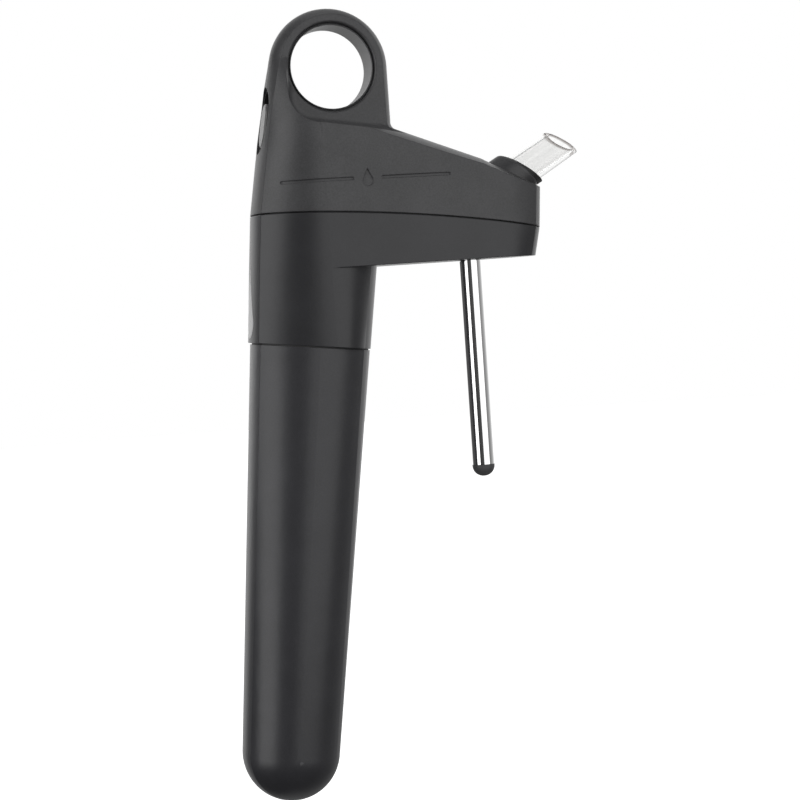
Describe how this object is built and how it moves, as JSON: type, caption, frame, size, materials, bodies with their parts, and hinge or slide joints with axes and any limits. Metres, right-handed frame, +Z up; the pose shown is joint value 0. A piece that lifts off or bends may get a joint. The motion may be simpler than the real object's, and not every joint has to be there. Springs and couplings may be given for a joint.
{
  "type": "wine pourer",
  "caption": "Hand-held gas wine pourer: ringed head with arm and clear spout, gas button, long handle cover over a screwed-in gas capsule, and a chrome pour tube with a black tip.",
  "frame": {"origin": "on the pour tube's axis, in the plane of the arm's flat underside", "axes": "+Z up along the tube towards the ring, +X towards the spout, Y across the width"},
  "size_m": [0.1108, 0.0308, 0.2226],
  "materials": {
    "cover_plastic": "fine grained matte, warm dark grey",
    "body_plastic": "smooth satin charcoal",
    "handle_plastic": "smooth satin charcoal",
    "button_plastic": "light grey satin",
    "bezel_plastic": "black matte",
    "clear_plastic": "clear polished",
    "tube_chrome": "polished",
    "black_tip": "satin black",
    "seal_rubber": "matte black",
    "inner_plastic": "moulded off-white",
    "chassis_plastic": "glass-filled black",
    "brass": "turned",
    "steel": "bright",
    "capsule_steel": "plated satin steel",
    "cup_aluminium": "anodised grey",
    "hose_plastic": "translucent tube"
  },
  "bodies": {
    "head": {"top_cover": "cover_plastic", "lower_body": "body_plastic", "button_bezel": "bezel_plastic", "button_spring": "steel", "valve_body": "brass", "valve_seal": "seal_rubber", "valve_spring": "steel", "inlet_hose": "hose_plastic", "outlet_hose": "hose_plastic", "check_valve": "inner_plastic", "manifold": "inner_plastic", "tube_seal": "seal_rubber", "spout_seal": "seal_rubber", "pour_tube": "tube_chrome", "tube_tip": "black_tip", "tube_bush": "bezel_plastic", "clear_spout": "clear_plastic", "spout_gasket": "seal_rubber", "chassis": "chassis_plastic", "chassis_screws": "steel", "regulator_body": "brass", "regulator_cap": "brass", "regulator_spring": "steel", "piercing_pin": "steel", "pierce_seal": "seal_rubber", "grip_band": "seal_rubber", "joint_seal": "seal_rubber"},
    "button": {"gas_button": "button_plastic"},
    "stem": {"valve_stem": "steel"},
    "cover": {"handle_cover": "handle_plastic"},
    "capsule": {"gas_capsule": "capsule_steel"},
    "cup": {"capsule_cup": "cup_aluminium", "cup_pad": "seal_rubber"},
    "piston": {"regulator_piston": "brass", "piston_seal": "seal_rubber"}
  },
  "joints": [
    {"name": "button_press", "type": "slide", "parent": "head", "child": "button", "axis": [0.9836, 0, -0.1805], "range_m": [0, 0.0025], "stiffness_N_per_m": 800, "springref_m": -0.001, "deforming": ["button_spring"]},
    {"name": "stem_slide", "type": "slide", "parent": "head", "child": "stem", "axis": [0.9836, 0, -0.1805], "range_m": [0, 0.0025], "deforming": ["valve_spring"]},
    {"name": "cover_slide", "type": "slide", "parent": "head", "child": "cover", "axis": [-0.1219, 0, -0.9925], "range_m": [0, 0.12]},
    {"name": "capsule_travel", "type": "slide", "parent": "head", "child": "capsule", "axis": [-0.1219, 0, -0.9925], "range_m": [0, 0.006]},
    {"name": "cup_screw", "type": "hinge", "parent": "capsule", "child": "cup", "pos_m": [-0.0486, 0, -0.0215], "axis": [-0.1219, 0, -0.9925], "range_deg": [0, 1440]},
    {"name": "piston_travel", "type": "slide", "parent": "head", "child": "piston", "axis": [0.1219, 0, 0.9925], "range_m": [0, 0.001], "stiffness_N_per_m": 6000, "springref_m": -0.001, "deforming": ["regulator_spring"]}
  ],
  "couplings": [
    {"joint": "stem_slide", "follows": "button_press", "ratio": 1},
    {"joint": "cup_screw", "follows": "capsule_travel", "rad_per_m": 4188.8}
  ]
}
